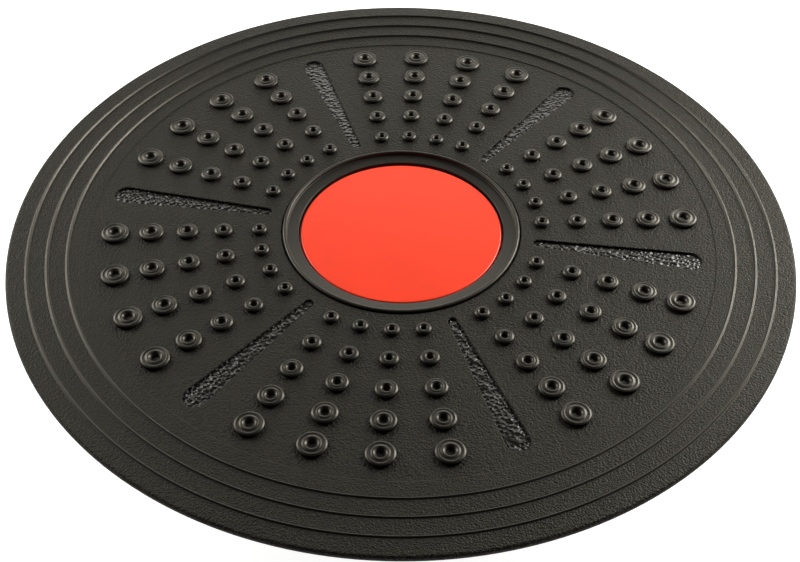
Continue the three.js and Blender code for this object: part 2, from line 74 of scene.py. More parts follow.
BOARD_RADIUS = highest("deck").x
NUB_TOP = highest("deck").z
SKIRT_FOOT = lowest("deck").z
FLANGE_RADIUS = highest("hub_flange").x
BEAD_TOP = highest("hub_flange").z
HUB_UNDERSIDE = lowest("hub_flange").z
CAP_RADIUS = highest("centre_cap").x
CAP_TOP = highest("centre_cap").z
CAP_SKIRT_FOOT = lowest("centre_cap").z
PLATE_RADIUS = highest("base_plate").x
COLLAR_TOP = highest("base_plate").z
BOSS_FOOT = lowest("base_plate").z
DOME_TOP = highest("dome").z
PAD_RADIUS = highest("foot_pad").x
RACE_OUTER_RADIUS = highest("upper_race").x
UPPER_RACE = (lowest("upper_race").z, highest("upper_race").z)
LOWER_RACE = (lowest("lower_race").z, highest("lower_race").z)
CAGE_OUTER_RADIUS = highest("ball_cage").x
CAGE = (lowest("ball_cage").z, highest("ball_cage").z)
BALL_RADIUS = (highest("ball_1").z - lowest("ball_1").z) / 2
BALL_HEIGHT = centre_of("ball_1").z
PATTERN_ANGLE = math.atan2(centre_of("plate_screw_1").y, centre_of("plate_screw_1").x)

# ---- Sizes that the frame's boxes don't give, in millimetres ----

RUNNING_GAP = 0.4
TOUCH_GAP = 0.3
CUT_PAST = 1

# Deck
NUB_HEIGHT = 2
DECK_TOP = NUB_TOP - NUB_HEIGHT
DECK_THICKNESS = 4
DECK_UNDERSIDE = DECK_TOP - DECK_THICKNESS
TERRACE_COUNT = 3
FIRST_STEP_RISE = 0.4
TERRACE_WIDTH = 8.9
RIM_BAND = 9.9
RIM_TOP = DECK_TOP + 1.5
TERRACE_RISE = (RIM_TOP - DECK_TOP - FIRST_STEP_RISE) / TERRACE_COUNT
RIM_THICKNESS = 3.2
TERRACE_START = BOARD_RADIUS - RIM_BAND - (TERRACE_COUNT - 1) * TERRACE_WIDTH
FIRST_STEP_RADIUS = TERRACE_START - 7.8
RACE_SEAT = UPPER_RACE[1] + TOUCH_GAP
RACE_SEAT_MARGIN = 2.4
RIB_THICKNESS = 2.4
RIB_COUNT = 12
RIB_OUTER_DEPTH = 4
RIB_INSET = 0.4
RIB_ROOT = 1
RIM_RIB_RADIUS = BOARD_RADIUS - 9.5
COLLAR_MARGIN = 2.6
COLLAR_OUTER_RADIUS = PLATE_RADIUS - COLLAR_MARGIN
COLLAR_WALL = 2.4
SKIRT_RADIUS = COLLAR_OUTER_RADIUS + 2

# Nubs and slots
SPOKE_COUNT = 30
SPOKES_PER_SLOT = 5
NUB_ROWS = 5
NUB_FIRST_RADIUS = FLANGE_RADIUS + RUNNING_GAP + 10.2
NUB_LAST_RADIUS = TERRACE_START - 20.2
NUB_PITCH = (NUB_LAST_RADIUS - NUB_FIRST_RADIUS) / (NUB_ROWS - 1)
NUB_SMALL_R = 3.6
NUB_GROWTH = 0.7
SLOT_INNER_RADIUS = 2.0
SLOT_OUTER_RADIUS = 5.2
SLOT_INNER_OVERRUN = 4
SLOT_OUTER_OVERRUN = 6
SLOT_DEPTH = 0.75

# Hub and cap
FLANGE_OVERHANG = 4.5
NECK_RADIUS = FLANGE_RADIUS - FLANGE_OVERHANG
FLANGE_UNDERSIDE = DECK_TOP - 2.3
BEAD_WIDTH = 1.9
BAND_HEIGHTS = (DECK_TOP - 0.7, DECK_TOP - 1.4)
CAP_BORE_RADIUS = CAP_RADIUS + 0.9
CAP_THICKNESS = 2.2
CAP_SKIRT_WALL = 1.8
HUB_INNER_RADIUS = CAP_BORE_RADIUS - 3.2
HUB_FLOOR = 3.4

# Bearing
RACE_INNER_RADIUS = NECK_RADIUS + 16
RACE_RADIUS = (RACE_INNER_RADIUS + RACE_OUTER_RADIUS) / 2
GROOVE_RADIUS = BALL_RADIUS + TOUCH_GAP
RACE_CHAMFER = 0.35
CAGE_HALF_WIDTH = CAGE_OUTER_RADIUS - RACE_RADIUS

# Rocker
PLATE_UNDERSIDE = DOME_TOP + TOUCH_GAP
PLATE_TOP = HUB_UNDERSIDE - TOUCH_GAP
DOME_WALL = 3.5
PAD_FLAT_RADIUS = 24
PAD_THICKNESS = 4
COLUMN_RADIUS = 18
COLUMN_WALL = 4
DOME_RIB_THICKNESS = 3
DOME_RIB_DROP = 2
BOSS_WALL = 2.8
BALL_CENTRE = (PLATE_RADIUS ** 2 + DOME_TOP ** 2 - PAD_FLAT_RADIUS ** 2) / (2 * DOME_TOP)
DOME_RADIUS = math.hypot(PAD_FLAT_RADIUS, BALL_CENTRE)

# Screws: shank and head radii, and the head's height
RACE_SCREW = {"shank": 1.25, "head": 2.3, "head_height": 1.5, "countersunk": True}
PLATE_SCREW = {"shank": 1.5, "head": 3.0, "head_height": 1.9, "countersunk": True}
HUB_SCREW = {"shank": 1.75, "head": 3.4, "head_height": 2.4, "countersunk": False}
THREAD_PITCH = 0.9
THREAD_DEPTH = 0.28

# Facets
DECK_SEGMENTS = 216
ROUND_SEGMENTS = 192
BOSS_SEGMENTS = 32
FILLET_STEPS = 4
COLUMN_SEGMENTS = 96
DOME_STEPS = 28
RECESS_STEPS = 8
BALL_STEPS = 18
GROOVE_STEPS = 12
SMOOTH_ANGLE = math.radians(38)


# ---- Outlines ----

def rounded(corners, steps=FILLET_STEPS):
    """The points of a closed outline of (radius, height, fillet) corners."""
    points = []
    for i, (r, z, fillet) in enumerate(corners):
        corner = Vector((r, z))
        if not fillet:
            points.append((r, z))
            continue
        before = (Vector(corners[i - 1][:2]) - corner).normalized()
        after = (Vector(corners[(i + 1) % len(corners)][:2]) - corner).normalized()
        half = before.angle(after) / 2
        centre = corner + (before + after).normalized() * (fillet / math.sin(half))
        start = corner + before * (fillet / math.tan(half)) - centre
        end = corner + after * (fillet / math.tan(half)) - centre
        first = math.atan2(start.y, start.x)
        turn = (math.atan2(end.y, end.x) - first + HALF_TURN) % (2 * HALF_TURN) - HALF_TURN
        points += arc(centre.x, centre.y, fillet, first, first + turn, steps)
    return points


def arc(centre_r, centre_z, radius, start, end, steps):
    angles = [start + (end - start) * k / steps for k in range(steps + 1)]
    return [(centre_r + radius * math.cos(a), centre_z + radius * math.sin(a)) for a in angles]


def eased(keys, steps=4):
    """Points of a smooth surface that is level at each (radius, height) key."""
    points = [keys[0]]
    for (r0, z0), (r1, z1) in zip(keys, keys[1:]):
        for k in range(1, steps + 1):
            t = k / steps
            level = (1 - math.cos(HALF_TURN * t)) / 2
            points.append((r0 + (r1 - r0) * t, z0 + (z1 - z0) * level))
    return points


def spline(keys, steps=4):
    """Points of a Catmull-Rom curve through the keys."""
    padded = [keys[0], *keys, keys[-1]]
    points = []
    for i in range(len(keys) - 1):
        a, b, c, d = (Vector(p) for p in padded[i:i + 4])
        for k in range(steps):
            t = k / steps
            point = b * 2 + (c - a) * t + (a * 2 - b * 5 + c * 4 - d) * t ** 2
            point += (b * 3 - a - c * 3 + d) * t ** 3
            points.append(tuple(point / 2))
    return [*points, keys[-1]]


def ball_face(radius, start, end, steps):
    """Points of a ball face round the dome's centre, by polar angle from straight down."""
    down = -HALF_TURN / 2
    return arc(0, BALL_CENTRE, radius, down + start, down + end, steps)


# ---- Solids ----

def revolve_into(mesh, outline, segments, place=Matrix(), material=0):
    """Adds a closed outline of (radius, height) points, turned round the axis, to a bmesh."""
    turns = [2 * HALF_TURN * k / segments for k in range(segments)]
    rings = []
    for r, z in outline:
        if r < 1e-6:
            rings.append([mesh.verts.new(place @ Vector((0, 0, z)))] * segments)
        else:
            rings.append([mesh.verts.new(place @ Vector((r * math.cos(t), r * math.sin(t), z)))
                          for t in turns])
    for i, ring in enumerate(rings):
        last = rings[i - 1]
        for k in range(segments):
            after = (k + 1) % segments
            corners = list(dict.fromkeys([last[k], ring[k], ring[after], last[after]]))
            if len(corners) > 2:
                mesh.faces.new(corners).material_index = material


def prism_into(mesh, outline, thickness, place):
    """Adds a flat web of (x, z) points, thickness deep across its middle plane."""
    sides = []
    for y in (-thickness / 2, thickness / 2):
        sides.append([mesh.verts.new(place @ Vector((x, y, z))) for x, z in outline])
    mesh.faces.new(sides[0])
    mesh.faces.new(reversed(sides[1]))
    for i in range(len(outline)):
        mesh.faces.new([sides[0][i - 1], sides[0][i], sides[1][i], sides[1][i - 1]])


def solid_of(mesh, materials):
    """An object from a bmesh of closed solids."""
    bmesh.ops.recalc_face_normals(mesh, faces=mesh.faces)
    data = bpy.data.meshes.new("solid")
    mesh.to_mesh(data)
    mesh.free()
    for material in materials:
        data.materials.append(material)
    solid = bpy.data.objects.new("solid", data)
    bpy.context.scene.collection.objects.link(solid)
    return solid


def revolved(outline, segments, materials, place=Matrix(), material=0):
    mesh = bmesh.new()
    revolve_into(mesh, outline, segments, place, material)
    return solid_of(mesh, materials)


def revolved_copies(outline, segments, materials, places, material=0):
    mesh = bmesh.new()
    for place in places:
        revolve_into(mesh, outline, segments, place, material)
    return solid_of(mesh, materials)


def apply_modifiers(solid):
    graph = bpy.context.evaluated_depsgraph_get()
    data = bpy.data.meshes.new_from_object(solid.evaluated_get(graph))
    solid.modifiers.clear()
    solid.data = data


def combine(solid, other, operation):
    """Joins other to the solid, cuts it away, or keeps what both fill."""
    modifier = solid.modifiers.new("combine", "BOOLEAN")
    modifier.operation = operation
    modifier.solver = "MANIFOLD"
    modifier.material_mode = "TRANSFER"
    modifier.object = other
    apply_modifiers(solid)
    bpy.data.objects.remove(other)
    return solid


def turned(angle, radius=0, height=0):
    return Matrix.Rotation(angle, 4, "Z") @ Matrix.Translation((radius, 0, height))


def pattern(count, shift=0):
    """Angles of an even ring of features, from the deck's pattern."""
    return [PATTERN_ANGLE + shift + 2 * HALF_TURN * i / count for i in range(count)]


def finish_piece(solid, name, nodes, body):
    """Shades the solid, turns it into metres and makes it stand for its CAD nodes."""
    solid.name = name
    solid.data.name = name
    solid.data.transform(Matrix.Scale(MM, 4))
    solid.data.shade_smooth()
    solid.data.set_sharp_from_angle(angle=SMOOTH_ANGLE)
    modifier = solid.modifiers.new("even normals", "WEIGHTED_NORMAL")
    modifier.keep_sharp = True
    apply_modifiers(solid)
    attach(solid, body)
    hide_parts(*nodes)
    return solid


# ---- Materials ----

SOCKETS = {"specular_tint": "Specular Tint", "specular_ior_level": "Specular IOR Level"}


class Finish:
    """A material's shader, and short calls for the texture nodes that drive it."""

    def __init__(self, name, color, roughness, metallic=0.0, **sockets):
        self.material = bpy.data.materials.new(name)
        self.material.use_nodes = True
        self.tree = self.material.node_tree
        self.shader = self.tree.nodes["Principled BSDF"]
        self.shader.inputs["Base Color"].default_value = (*color, 1)
        self.shader.inputs["Roughness"].default_value = roughness
        self.shader.inputs["Metallic"].default_value = metallic
        for socket, value in sockets.items():
            self.shader.inputs[SOCKETS[socket]].default_value = value
        self.place = self.add("ShaderNodeTexCoord").outputs["Object"]

    def add(self, kind, inputs=None, **settings):
        node = self.tree.nodes.new(kind)
        for key, value in settings.items():
            setattr(node, key, value)
        for key, value in (inputs or {}).items():
            if isinstance(value, bpy.types.NodeSocket):
                self.tree.links.new(value, node.inputs[key])
            else:
                node.inputs[key].default_value = value
        return node

    def stretched(self, scale):
        """The place in the piece, with each axis scaled."""
        node = self.add("ShaderNodeMapping", {"Vector": self.place, "Scale": scale})
        return node.outputs["Vector"]

    def noise(self, size, detail=2.0, roughness=0.5, distortion=0.0, place=None):
        """Cloudy noise, with features of that size in millimetres."""
        node = self.add("ShaderNodeTexNoise", {
            "Vector": place or self.place, "Scale": 1 / (size * MM), "Detail": detail,
            "Roughness": roughness, "Distortion": distortion})
        return node.outputs["Fac"]

    def cells(self, size, feature="F1", place=None):
        """The distance in a pattern of cells of that size in millimetres."""
        node = self.add("ShaderNodeTexVoronoi", {
            "Vector": place or self.place, "Scale": 1 / (size * MM)}, feature=feature)
        return node.outputs["Distance"]

    def remap(self, value, low, high, to_low, to_high):
        node = self.add("ShaderNodeMapRange", {
            "Value": value, "From Min": low, "From Max": high,
            "To Min": to_low, "To Max": to_high})
        return node.outputs["Result"]

    def sum(self, first, second):
        return self.add("ShaderNodeMath", {0: first, 1: second}, operation="ADD").outputs[0]

    def scaled(self, value, factor):
        return self.add("ShaderNodeMath", {0: value, 1: factor}, operation="MULTIPLY").outputs[0]

    def color_between(self, value, low_color, high_color, low=0.3, high=0.7):
        node = self.add("ShaderNodeValToRGB", {"Fac": value})
        ramp = node.color_ramp
        ramp.elements[0].position = low
        ramp.elements[0].color = (*low_color, 1)
        ramp.elements[1].position = high
        ramp.elements[1].color = (*high_color, 1)
        self.tree.links.new(node.outputs["Color"], self.shader.inputs["Base Color"])

    def roughness_between(self, value, rough_low, rough_high, low=0.3, high=0.7):
        self.tree.links.new(self.remap(value, low, high, rough_low, rough_high),
                            self.shader.inputs["Roughness"])

    def bump(self, height, depth, strength=1.0):
        """Relief with that depth in millimetres where height goes from 0 to 1."""
        node = self.add("ShaderNodeBump", {
            "Height": height, "Distance": depth * MM, "Strength": strength})
        self.tree.links.new(node.outputs["Normal"], self.shader.inputs["Normal"])


def shade(color, factor):
    return tuple(min(1.0, c * factor) for c in color)


DECK_COLOR = (0.0087, 0.0078, 0.0065)
# Warm tint on the plastics' reflections: painted warmth of the lamp light, carried by the plastic
# instead of by the lamps
PAINTED_LAMP_WARMTH_TINT = (1.0, 0.94, 0.83, 1)


def grained_plastic():
    """The deck's leather-grained moulded plastic."""
    finish = Finish("grained_plastic", DECK_COLOR, 0.5, specular_tint=PAINTED_LAMP_WARMTH_TINT,
                    specular_ior_level=0.21)
    wrinkle = finish.cells(1.0)
    fine = finish.noise(0.8, 2.0, 0.55)
    cloud = finish.noise(28, 2.0)
    mottle = finish.sum(finish.scaled(fine, 0.7), finish.scaled(cloud, 0.3))
    finish.color_between(mottle, shade(DECK_COLOR, 0.72), shade(DECK_COLOR, 1.28), 0.36, 0.66)
    finish.roughness_between(fine, 0.42, 0.6)
    finish.bump(finish.sum(finish.scaled(wrinkle, 0.35), finish.scaled(fine, 1.0)), 0.5)
    return finish.material


def smooth_plastic(name, color, roughness, relief=0.02, tint=PAINTED_LAMP_WARMTH_TINT):
    """Moulded plastic with a soft satin face, flow marks and fine handling scratches."""
    finish = Finish(name, color, roughness, specular_tint=tint)
    cloud = finish.noise(14, 3.0)
    scratch = finish.noise(0.35, 2.0, 0.6, place=finish.stretched((1, 0.12, 1)))
    finish.color_between(cloud, shade(color, 0.86), shade(color, 1.12))
    finish.roughness_between(scratch, roughness * 0.8, roughness * 1.25)
    finish.bump(scratch, relief)
    return finish.material


def hammered_plastic():
    """The glossy face that the mould leaves in the slots."""
    finish = Finish("slot_gloss_plastic", shade(DECK_COLOR, 0.8), 0.26, specular_ior_level=0.4)
    cloud = finish.noise(1.6, 2.0)
    finish.color_between(cloud, shade(DECK_COLOR, 0.6), shade(DECK_COLOR, 1.1))
    finish.roughness_between(cloud, 0.22, 0.34)
    finish.bump(finish.cells(1.9), 0.5)
    return finish.material


def red_plastic():
    color = (0.93, 0.039, 0.005)
    finish = Finish("red_cap_plastic", color, 0.36)
    cloud = finish.noise(30, 2.0)
    grain = finish.noise(0.5, 3.0, 0.6)
    finish.color_between(cloud, shade(color, 0.94), shade(color, 1.05))
    finish.roughness_between(grain, 0.31, 0.42)
    finish.bump(grain, 0.012)
    return finish.material


def rubber():
    color = (0.017, 0.0165, 0.016)
    finish = Finish("foot_rubber", color, 0.85)
    dust = finish.noise(9, 5.0, 0.65)
    pore = finish.noise(0.4, 4.0, 0.7)
    finish.color_between(dust, shade(color, 0.8), shade(color, 1.9), 0.35, 0.75)
    finish.roughness_between(pore, 0.74, 0.95)
    finish.bump(pore, 0.08)
    return finish.material


def steel(name, color, roughness, turned_marks=False):
    """Bright metal: turned rings show as fine marks round the axis, or a light all-over haze."""
    finish = Finish(name, color, roughness, metallic=1.0)
    haze = finish.noise(6, 4.0, 0.6)
    if turned_marks:
        wave = finish.add("ShaderNodeTexWave", {
            "Vector": finish.place, "Scale": 1100.0, "Distortion": 0.6, "Detail": 3.0},
            wave_type="RINGS", rings_direction="Z")
        marks = wave.outputs["Fac"]
    else:
        marks = finish.noise(0.3, 3.0, 0.6)
    finish.color_between(haze, shade(color, 0.88), shade(color, 1.06))
    finish.roughness_between(marks, roughness * 0.75, roughness * 1.3)
    finish.bump(marks, 0.006)
    return finish.material


GRAINED = grained_plastic()
NUB_PLASTIC = smooth_plastic("nub_plastic", shade(DECK_COLOR, 0.85), 0.4)
SLOT_PLASTIC = hammered_plastic()
PLAIN_PLASTIC = smooth_plastic("underside_plastic", shade(DECK_COLOR, 0.9), 0.42, 0.03)
HUB_PLASTIC = smooth_plastic("hub_gloss_plastic", shade(DECK_COLOR, 0.85), 0.42, 0.012)
ROCKER_PLASTIC = smooth_plastic("rocker_plastic", shade(DECK_COLOR, 0.85), 0.4, 0.05)
CAP_PLASTIC = red_plastic()
RUBBER = rubber()
CAGE_NYLON = smooth_plastic("cage_nylon", (0.78, 0.76, 0.7), 0.45, 0.02, (1, 1, 1, 1))
RACE_STEEL = steel("turned_race_steel", (0.62, 0.63, 0.65), 0.26, turned_marks=True)
BALL_STEEL = steel("polished_ball_steel", (0.74, 0.75, 0.77), 0.09)
SCREW_ZINC = steel("zinc_screw", (0.52, 0.54, 0.56), 0.34)

DECK_MATERIALS = [GRAINED, NUB_PLASTIC, SLOT_PLASTIC, PLAIN_PLASTIC]
GRAINED_FACE, NUB_FACE, SLOT_FACE, PLAIN_FACE = range(4)


# ---- Deck ----

LIP_WIDTH = 1.4
LIP_RISE = 0.5
LIP_FOOT = 0.3


def terrace_step(index):
    """One raised ring on the deck's top, from its lip inwards down to its foot."""
    radius = BOARD_RADIUS - RIM_BAND - index * TERRACE_WIDTH
    height = RIM_TOP - index * TERRACE_RISE
    foot = height - TERRACE_RISE
    return eased([
        (radius + LIP_WIDTH, height),
        (radius + LIP_WIDTH * 0.42, height + LIP_RISE),
        (radius - LIP_FOOT, foot),
    ])


def deck_blank():
    nose = RIM_THICKNESS / 2
    rim_underside = RIM_TOP - RIM_THICKNESS
    terrace_underside = rim_underside - (DECK_THICKNESS - RIM_THICKNESS) / 2
    seat_edge = RACE_OUTER_RADIUS + RACE_SEAT_MARGIN
    bore = NECK_RADIUS + RUNNING_GAP
    rebate = FLANGE_RADIUS + RUNNING_GAP
    rebate_top = FLANGE_UNDERSIDE - RUNNING_GAP
    skirt_outer = SKIRT_RADIUS + RIB_THICKNESS
    rim_rib_outer = RIM_RIB_RADIUS + RIB_THICKNESS
    rib_foot = rim_underside - RIB_OUTER_DEPTH
    underside = rounded([
        (bore, RACE_SEAT, 0.3),
        (seat_edge, RACE_SEAT, 0.4),
        (seat_edge, DECK_UNDERSIDE, 0.4),
        (SKIRT_RADIUS, DECK_UNDERSIDE, 0.8),
        (SKIRT_RADIUS, SKIRT_FOOT, 0.6),
        (skirt_outer, SKIRT_FOOT, 0.6),
        (skirt_outer, DECK_UNDERSIDE, 0.8),
        (TERRACE_START, DECK_UNDERSIDE, 0),
        (RIM_RIB_RADIUS, terrace_underside, 0.8),
        (RIM_RIB_RADIUS, rib_foot, 0.6),
        (rim_rib_outer, rib_foot, 0.6),
        (rim_rib_outer, rim_underside, 0.8),
        (BOARD_RADIUS - nose, rim_underside, 0),
        (BOARD_RADIUS - nose, RIM_TOP, 0),
        (rebate, DECK_TOP, 0.6),
        (rebate, rebate_top, 0.3),
        (bore, rebate_top, 0.3),
    ], 3)
    rim_corner = underside.index((BOARD_RADIUS - nose, rim_underside))
    outline = underside[:rim_corner]
    outline += arc(BOARD_RADIUS - nose, RIM_TOP - nose, nose, -HALF_TURN / 2, HALF_TURN / 2, 10)
    for index in range(TERRACE_COUNT):
        outline += terrace_step(index)
    outline += eased([
        (FIRST_STEP_RADIUS + 0.3, DECK_TOP + FIRST_STEP_RISE),
        (FIRST_STEP_RADIUS - 0.3, DECK_TOP),
    ], 3)
    outline += underside[rim_corner + 2:]
    return revolved(outline, DECK_SEGMENTS, DECK_MATERIALS)


def deck_ribs():
    inner = SKIRT_RADIUS + RIB_THICKNESS / 2
    outer = RIM_RIB_RADIUS + RIB_THICKNESS / 2
    outline = [
        (inner, SKIRT_FOOT + RIB_INSET),
        (outer, RIM_TOP - RIM_THICKNESS - RIB_OUTER_DEPTH + RIB_INSET),
        (outer, DECK_UNDERSIDE + RIB_ROOT),
        (inner, DECK_UNDERSIDE + RIB_ROOT),
    ]
    mesh = bmesh.new()
    for angle in pattern(RIB_COUNT):
        prism_into(mesh, outline, RIB_THICKNESS, turned(angle))
    return solid_of(mesh, DECK_MATERIALS)


NUB_SEGMENTS = (18, 18, 24, 24, 24)
NUB_ROOT = 0.6
NUB_FOOT_INSET = 0.5


def nub_outline(row):
    """A nub with a tucked-in foot, a round rim, a hole, and a ring between on larger ones."""
    size = NUB_SMALL_R + row * NUB_GROWTH
    large = row / (NUB_ROWS - 1)

    def between(small_value, large_value):
        return small_value + (large_value - small_value) * large

    face = spline([
        (size - 0.42, DECK_TOP + 0.12),
        (size - 0.1, DECK_TOP + 0.5),
        (size - 0.01, DECK_TOP + 0.92),
        (size - 0.18, DECK_TOP + 1.3),
        (size * between(0.84, 0.9), DECK_TOP + between(1.68, 1.58)),
        (size * between(0.75, 0.82), DECK_TOP + between(1.9, 1.76)),
        (size * between(0.66, 0.68), DECK_TOP + between(1.98, 1.52)),
        (size * between(0.56, 0.52), DECK_TOP + NUB_HEIGHT),
        (size * 0.41, DECK_TOP + 1.75),
        (size * 0.3, DECK_TOP + 1.1),
        (size * 0.24, DECK_TOP + 0.2),
    ], 2)
    return [
        (0, DECK_TOP - NUB_ROOT),
        (size - NUB_FOOT_INSET, DECK_TOP - NUB_ROOT),
        (size - NUB_FOOT_INSET, DECK_TOP + 0.02),
        *face,
        (0, DECK_TOP + 0.1),
    ]


def deck_nubs():
    mesh = bmesh.new()
    for spoke, angle in enumerate(pattern(SPOKE_COUNT)):
        if spoke % SPOKES_PER_SLOT == 0:
            continue
        for row in range(NUB_ROWS):
            place = turned(angle, NUB_FIRST_RADIUS + row * NUB_PITCH)
            revolve_into(mesh, nub_outline(row), NUB_SEGMENTS[row], place, NUB_FACE)
    return solid_of(mesh, DECK_MATERIALS)


LIP_FILLET = 0.5
SLOT_WALL = 1.0
SLOT_WALL_LEAN = 0.08
SLOT_FULL_REACH = 3
HAMMER_SEED = 41
HAMMER_SIZE = 1.8
HAMMER_DEPTH = 0.35
HAMMER_MARGIN = 4
HAMMER_JITTER = 0.42
HAMMER_SPREAD = 0.6
HAMMER_EDGE = 0.24
HAMMER_RISE = 0.1
SLOT_STEP = 0.9
FLOOR_RINGS = (0.88, 0.7, 0.52, 0.35, 0.18, 0.0)
END_STEPS = 12


def slot_stations():
    """Round the slot's mouth: a middle point, the way out from it, and how far the wall is."""
    start = NUB_FIRST_RADIUS - SLOT_INNER_OVERRUN + SLOT_INNER_RADIUS
    end = NUB_LAST_RADIUS + SLOT_OUTER_OVERRUN - SLOT_OUTER_RADIUS
    length = end - start
    taper = math.asin((SLOT_OUTER_RADIUS - SLOT_INNER_RADIUS) / length)
    side_steps = round(length / SLOT_STEP)
    corner = HALF_TURN / 2 + taper
    stations = []
    for k in range(side_steps):
        t = k / side_steps
        reach = SLOT_INNER_RADIUS + (SLOT_OUTER_RADIUS - SLOT_INNER_RADIUS) * t
        stations.append((start + length * t, corner, reach))
    for k in range(END_STEPS):
        stations.append((end, corner * (1 - 2 * k / END_STEPS), SLOT_OUTER_RADIUS))
    for k in range(side_steps):
        t = 1 - k / side_steps
        reach = SLOT_INNER_RADIUS + (SLOT_OUTER_RADIUS - SLOT_INNER_RADIUS) * t
        stations.append((start + length * t, -corner, reach))
    for k in range(END_STEPS):
        angle = -corner - (2 * HALF_TURN - 2 * corner) * k / END_STEPS
        stations.append((start, angle, SLOT_INNER_RADIUS))
    return stations


def hammer_marks(dice):
    """A jittered grid of dents over the slot's floor: place and depth of each."""
    marks = []
    first_column = int(NUB_FIRST_RADIUS / HAMMER_SIZE) - HAMMER_MARGIN
    last_column = int(NUB_LAST_RADIUS / HAMMER_SIZE) + HAMMER_MARGIN
    for column in range(first_column, last_column + 1):
        for lane in range(-HAMMER_MARGIN, HAMMER_MARGIN + 1):
            x = (column + dice.uniform(-HAMMER_JITTER, HAMMER_JITTER)) * HAMMER_SIZE
            y = (lane + dice.uniform(-HAMMER_JITTER, HAMMER_JITTER)) * HAMMER_SIZE
            marks.append((x, y, dice.uniform(0.3, 1.0) * HAMMER_DEPTH))
    return marks


def dent_at(x, y, marks):
    """How much deeper the floor is there: round dents that meet in ridges."""
    near = min(marks, key=lambda mark: (mark[0] - x) ** 2 + (mark[1] - y) ** 2)
    away = math.hypot(near[0] - x, near[1] - y) / HAMMER_SIZE
    return near[2] * max(0.0, 1 - away ** 2 / HAMMER_SPREAD)


def slot_cutter_into(mesh, place, dice):
    marks = hammer_marks(dice)
    stations = slot_stations()
    levels = [(LIP_FILLET, CUT_PAST)]
    levels += [(LIP_FILLET * (1 - math.sin(a)), -LIP_FILLET * (1 - math.cos(a)))
               for a in (0, HALF_TURN / 6, HALF_TURN / 3, HALF_TURN / 2)]
    levels.append((-SLOT_WALL_LEAN, -SLOT_WALL))
    rings = []
    for outset, height in levels:
        ring = []
        for x, angle, reach in stations:
            away = reach + outset
            along, across = x + away * math.cos(angle), away * math.sin(angle)
            ring.append(mesh.verts.new(place @ Vector((along, across, DECK_TOP + height))))
        rings.append(ring)
    for share in FLOOR_RINGS:
        ring = []
        for x, angle, reach in stations:
            along, across = x + share * reach * math.cos(angle), share * reach * math.sin(angle)
            room = min(1.0, reach / SLOT_FULL_REACH)
            depth = SLOT_WALL + (SLOT_DEPTH - SLOT_WALL) * (1 - share ** 2) * room
            fade = min(1.0, (1 - share) / HAMMER_EDGE)
            depth += dent_at(along, across, marks) * fade - HAMMER_RISE
            ring.append(mesh.verts.new(place @ Vector((along, across, DECK_TOP - depth))))
        rings.append(ring)
    mesh.faces.new(rings[0]).material_index = GRAINED_FACE
    lip_rings = len(levels) - 2
    for i in range(1, len(rings)):
        for k in range(len(stations)):
            corners = [rings[i - 1][k - 1], rings[i - 1][k], rings[i][k], rings[i][k - 1]]
            mesh.faces.new(corners).material_index = GRAINED_FACE if i <= lip_rings else SLOT_FACE


def slot_cutters():
    dice = random.Random(HAMMER_SEED)
    mesh = bmesh.new()
    for angle in pattern(SPOKE_COUNT // SPOKES_PER_SLOT):
        slot = bmesh.new()
        slot_cutter_into(slot, turned(angle), dice)
        bmesh.ops.remove_doubles(slot, verts=slot.verts, dist=1e-4)
        data = bpy.data.meshes.new("slot")
        slot.to_mesh(data)
        slot.free()
        mesh.from_mesh(data)
        bpy.data.meshes.remove(data)
    return solid_of(mesh, DECK_MATERIALS)


def bores(nodes, radius, bottom, top, materials, material=0):
    """Round cutters on the axes of a group of screws."""
    outline = [(0, bottom), (radius, bottom), (radius, top), (0, top)]
    places = [Matrix.Translation((centre_of(node).x, centre_of(node).y, 0)) for node in nodes]
    return revolved_copies(outline, BOSS_SEGMENTS, materials, places, material)


def make_deck():
    deck = deck_blank()
    combine(deck, deck_ribs(), "UNION")
    combine(deck, deck_nubs(), "UNION")
    combine(deck, slot_cutters(), "DIFFERENCE")
    screws = numbered("upper_race_screw", SCREWS_PER_RING)
    tip = highest(screws[0]).z
    holes = bores(screws, RACE_SCREW["shank"] + TOUCH_GAP, RACE_SEAT - CUT_PAST, tip + TOUCH_GAP,
                  DECK_MATERIALS, PLAIN_FACE)
    combine(deck, holes, "DIFFERENCE")
    lips = [BOARD_RADIUS - RIM_BAND - i * TERRACE_WIDTH for i in range(TERRACE_COUNT)]
    for face in deck.data.polygons:
        radius = face.center.to_2d().length
        if face.normal.z < -0.3 or face.center.z < DECK_UNDERSIDE + 0.2 or radius < FLANGE_RADIUS:
            face.material_index = PLAIN_FACE
        elif any(lip - LIP_FOOT < radius < lip + LIP_WIDTH for lip in lips):
            face.material_index = NUB_FACE
    return finish_piece(deck, "deck_fine", ["deck"], "turntable")


# ---- Hub and cap ----

